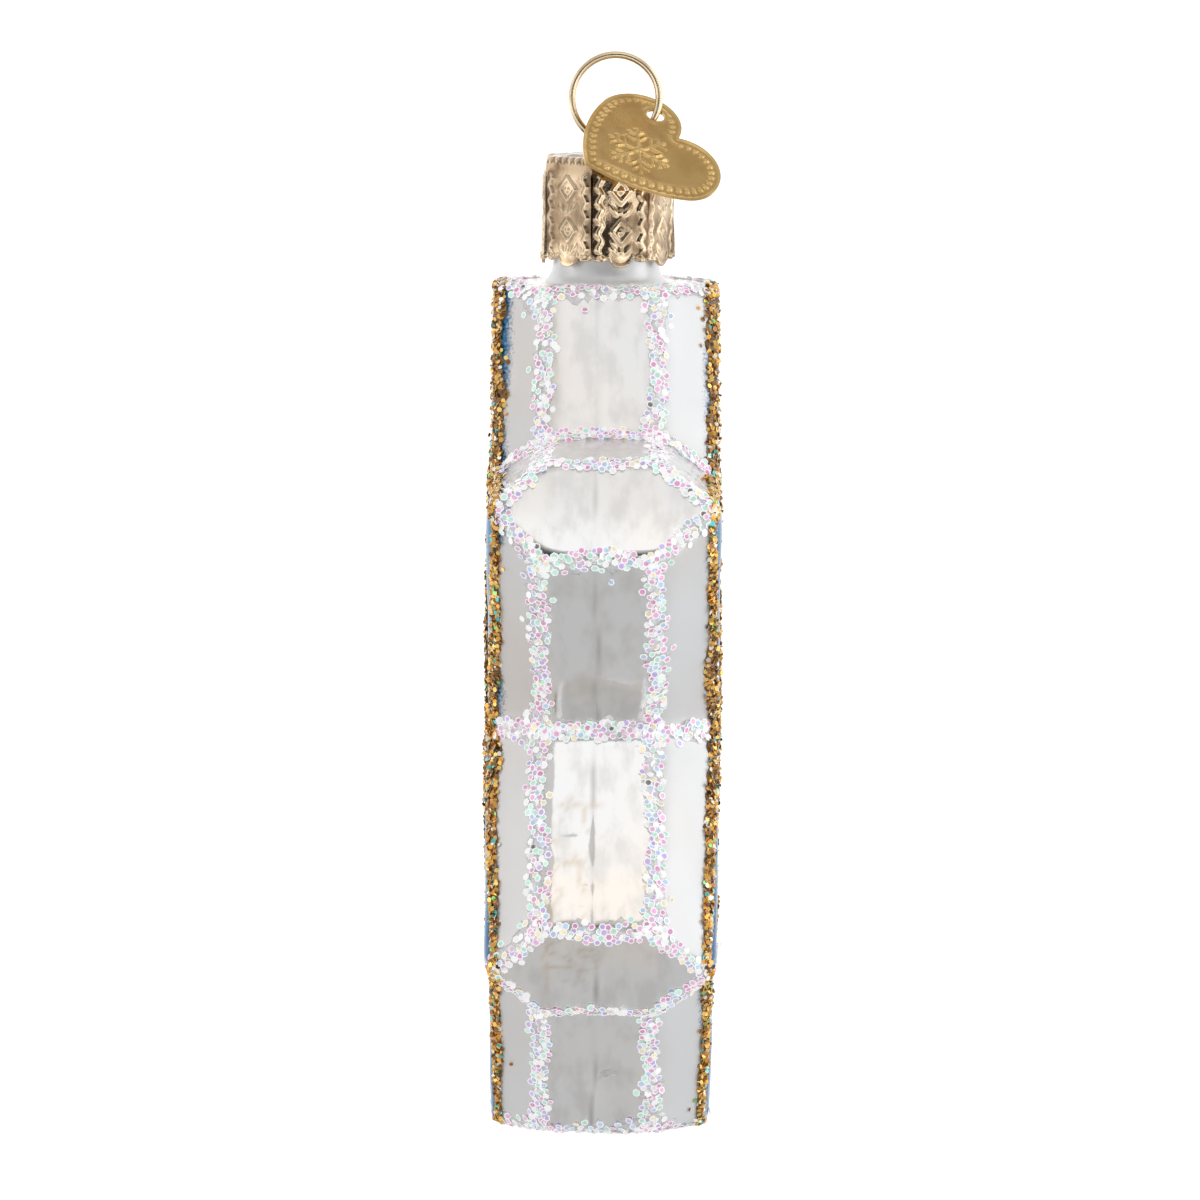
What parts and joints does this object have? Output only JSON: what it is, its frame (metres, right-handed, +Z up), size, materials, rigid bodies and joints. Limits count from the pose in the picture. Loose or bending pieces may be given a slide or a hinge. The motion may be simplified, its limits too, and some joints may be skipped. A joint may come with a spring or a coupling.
{
  "type": "hanging glass star ornament",
  "caption": "Hollow glass six-pointed star with bevelled rim and glitter lines, a petalled metal cap, sprung wire hanger and heart tag.",
  "frame": {"origin": "hanging point: the inside of the top of the wire loop, where a hook bears", "axes": "+Z up; the star's plane is parallel to XZ, its painted faces look along -Y and +Y, and the pictured edge looks along +X"},
  "size_m": [0.084, 0.0242, 0.1098],
  "materials": {
    "lacquered_glass": "satin",
    "cap_metal": "polished",
    "wire_metal": "polished",
    "tag_metal": "satin",
    "gold_glitter": "glitter",
    "white_glitter": "glitter"
  },
  "bodies": {
    "hanger": {"hanger_wire": "wire_metal"},
    "cap": {"ornament_cap": "cap_metal"},
    "star": {"glass_star": "lacquered_glass", "gold_glitter_outline_front": "gold_glitter", "gold_glitter_hexagon_front": "gold_glitter", "gold_glitter_outline_back": "gold_glitter", "gold_glitter_hexagon_back": "gold_glitter", "white_glitter_line_front": "white_glitter", "white_glitter_line_back": "white_glitter", "white_glitter_tip_upper_right": "white_glitter", "white_glitter_tip_lower_right": "white_glitter", "white_glitter_tip_bottom": "white_glitter", "white_glitter_tip_lower_left": "white_glitter", "white_glitter_tip_upper_left": "white_glitter", "white_glitter_tip_top": "white_glitter", "white_glitter_valley_right": "white_glitter", "white_glitter_valley_top_right": "white_glitter", "white_glitter_valley_top_left": "white_glitter", "white_glitter_valley_left": "white_glitter", "white_glitter_valley_bottom_left": "white_glitter", "white_glitter_valley_bottom_right": "white_glitter"},
    "tag": {"heart_tag": "tag_metal"}
  },
  "joints": [
    {"name": "loop_rock", "type": "hinge", "parent": "hanger", "child": "cap", "pos_m": [0, -0.0008, -0.00985], "axis": [0, 1, 0], "range_deg": [0, 6]},
    {"name": "star_turn", "type": "hinge", "parent": "cap", "child": "star", "pos_m": [0, -0.0008, -0.015], "axis": [0, 0, 1], "continuous": true},
    {"name": "tag_swing", "type": "hinge", "parent": "hanger", "child": "tag", "pos_m": [0, 0.00403, -0.00571], "axis": [0, 0.3907, 0.9205], "range_deg": [-15, 145]}
  ]
}
